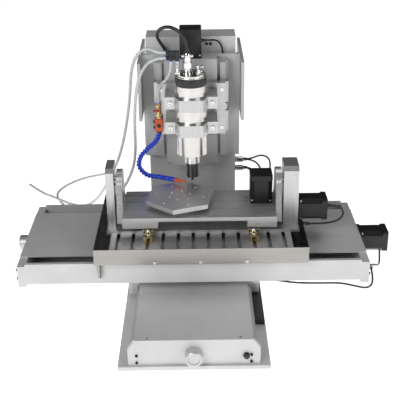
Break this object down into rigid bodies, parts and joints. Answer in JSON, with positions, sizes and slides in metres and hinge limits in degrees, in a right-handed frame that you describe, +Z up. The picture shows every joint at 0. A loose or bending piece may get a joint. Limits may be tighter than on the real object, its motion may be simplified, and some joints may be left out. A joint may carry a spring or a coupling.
{
  "type": "cnc router",
  "caption": "Desktop column CNC router with sliding beam and table, tilting trunnion cradle carrying a turning hexagonal work plate, and a water-cooled spindle on a vertical slide.",
  "frame": {"origin": "centre of the bounding box in plan without cables and hoses, on the floor under the feet", "axes": "+X along the beam towards its motor end, +Y from the hand knob at the front towards the column, +Z up"},
  "size_m": [1.0913, 1.2048, 0.7021],
  "materials": {
    "feet": "matt",
    "base_plate": "satin powder coat",
    "front_panel": "satin powder coat",
    "base_walls": "satin powder coat",
    "base_cover": "satin powder coat",
    "frame_screws": "blackened",
    "frame_rails": "ground",
    "frame_blocks": "satin",
    "frame_motors": "satin",
    "chain_and_switch": "matt",
    "column_box": "satin powder coat",
    "z_panel": "satin powder coat",
    "z_covers": "satin powder coat",
    "axis_sockets": "polished",
    "y_screw": "ground",
    "z_screw": "ground",
    "x_screw": "ground",
    "saddle": "milled",
    "beam_frame": "satin powder coat",
    "beam_cover": "satin powder coat",
    "beam_screws": "blackened",
    "x_rails": "ground",
    "x_motor": "satin",
    "table_carriage": "milled",
    "drip_tray": "brushed",
    "slot_table": "milled",
    "hold_down_clamps": "plated",
    "table_screws": "zinc plated",
    "trunnion_plate": "milled",
    "trunnion_supports": "milled",
    "a_motor": "satin",
    "a_belt": "matt",
    "a_motor_pulley": "milled",
    "pivot_shafts": "ground",
    "cradle_arms": "milled",
    "cradle_deck": "milled",
    "c_motor": "satin",
    "c_belt": "matt",
    "c_motor_pulley": "milled",
    "c_hub": "milled",
    "hex_plate": "milled",
    "z_carriage": "milled",
    "z_screws": "blackened",
    "spindle_clamps": "milled",
    "spindle_body": "fine turned",
    "water_fittings": "polished",
    "coolant_hose": "semi-gloss",
    "collet_nut": "ground",
    "spindle_cable": "matt",
    "z_motor_cable": "matt",
    "water_hose_left": "clear, glossy",
    "water_hose_right": "clear, glossy",
    "valve_hose": "clear, glossy",
    "spindle_hose": "clear, glossy",
    "socket_cable_top_front": "matt",
    "socket_cable_top_back": "matt",
    "socket_cable_low_front": "matt",
    "socket_cable_low_back": "matt",
    "a_motor_cable": "matt",
    "x_motor_cable": "matt"
  },
  "bodies": {
    "base": {"feet": "feet", "base_plate": "base_plate", "front_panel": "front_panel", "base_walls": "base_walls", "base_cover": "base_cover", "frame_screws": "frame_screws", "frame_rails": "frame_rails", "frame_blocks": "frame_blocks", "frame_motors": "frame_motors", "chain_and_switch": "chain_and_switch", "column_box": "column_box", "z_panel": "z_panel", "z_covers": "z_covers", "axis_sockets": "axis_sockets", "z_motor_cable": "z_motor_cable", "socket_cable_top_front": "socket_cable_top_front", "socket_cable_top_back": "socket_cable_top_back", "socket_cable_low_front": "socket_cable_low_front", "socket_cable_low_back": "socket_cable_low_back"},
    "y_ball_screw": {"y_screw": "y_screw"},
    "z_ball_screw": {"z_screw": "z_screw"},
    "beam": {"saddle": "saddle", "beam_frame": "beam_frame", "beam_cover": "beam_cover", "beam_screws": "beam_screws", "x_rails": "x_rails", "x_motor": "x_motor", "x_motor_cable": "x_motor_cable"},
    "x_ball_screw": {"x_screw": "x_screw"},
    "table": {"table_carriage": "table_carriage", "drip_tray": "drip_tray", "slot_table": "slot_table", "hold_down_clamps": "hold_down_clamps", "table_screws": "table_screws", "trunnion_plate": "trunnion_plate", "trunnion_supports": "trunnion_supports", "a_motor": "a_motor", "a_belt": "a_belt", "a_motor_cable": "a_motor_cable"},
    "tilt_motor_pulley": {"a_motor_pulley": "a_motor_pulley"},
    "cradle": {"pivot_shafts": "pivot_shafts", "cradle_arms": "cradle_arms", "cradle_deck": "cradle_deck", "c_motor": "c_motor", "c_belt": "c_belt"},
    "turn_motor_pulley": {"c_motor_pulley": "c_motor_pulley"},
    "work_plate": {"c_hub": "c_hub", "hex_plate": "hex_plate"},
    "z_slide": {"z_carriage": "z_carriage", "z_screws": "z_screws", "spindle_clamps": "spindle_clamps", "spindle_body": "spindle_body", "water_fittings": "water_fittings", "coolant_hose": "coolant_hose", "spindle_cable": "spindle_cable", "water_hose_left": "water_hose_left", "water_hose_right": "water_hose_right", "valve_hose": "valve_hose", "spindle_hose": "spindle_hose"},
    "spindle": {"collet_nut": "collet_nut"}
  },
  "joints": [
    {"name": "y_travel", "type": "slide", "parent": "base", "child": "beam", "axis": [0, 1, 0], "range_m": [-0.15, 0.03]},
    {"name": "x_travel", "type": "slide", "parent": "beam", "child": "table", "axis": [1, 0, 0], "range_m": [-0.12, 0.12]},
    {"name": "a_tilt", "type": "hinge", "parent": "table", "child": "cradle", "pos_m": [-0.006, -0.0045, 0.334], "axis": [1, 0, 0], "range_deg": [-90, 0]},
    {"name": "c_turn", "type": "hinge", "parent": "cradle", "child": "work_plate", "pos_m": [-0.0585, 0, 0.276], "axis": [0, 0, 1], "continuous": true},
    {"name": "z_travel", "type": "slide", "parent": "base", "child": "z_slide", "axis": [0, 0, 1], "range_m": [0, 0.045]},
    {"name": "spindle_spin", "type": "hinge", "parent": "z_slide", "child": "spindle", "pos_m": [-0.026, 0.089, 0.32], "axis": [0, 0, 1], "continuous": true},
    {"name": "y_screw_turn", "type": "hinge", "parent": "base", "child": "y_ball_screw", "pos_m": [-0.026, 0.089, 0.047], "axis": [0, 1, 0], "continuous": true},
    {"name": "x_screw_turn", "type": "hinge", "parent": "beam", "child": "x_ball_screw", "pos_m": [-0.026, 0.0225, 0.146], "axis": [1, 0, 0], "continuous": true},
    {"name": "z_screw_turn", "type": "hinge", "parent": "base", "child": "z_ball_screw", "pos_m": [-0.026, 0.197, 0.45], "axis": [0, 0, 1], "continuous": true},
    {"name": "tilt_pulley_turn", "type": "hinge", "parent": "table", "child": "tilt_motor_pulley", "pos_m": [0.224, -0.0045, 0.255], "axis": [1, 0, 0], "continuous": true},
    {"name": "turn_pulley_turn", "type": "hinge", "parent": "cradle", "child": "turn_motor_pulley", "pos_m": [0.151, 0.0195, 0.25], "axis": [0, 0, 1], "continuous": true}
  ],
  "couplings": [
    {"joint": "y_screw_turn", "follows": "y_travel", "rad_per_m": 1256.6},
    {"joint": "x_screw_turn", "follows": "x_travel", "rad_per_m": 1256.6},
    {"joint": "z_screw_turn", "follows": "z_travel", "rad_per_m": 1256.6},
    {"joint": "tilt_pulley_turn", "follows": "a_tilt", "ratio": 2.1818},
    {"joint": "turn_pulley_turn", "follows": "c_turn", "ratio": 2.9091}
  ]
}
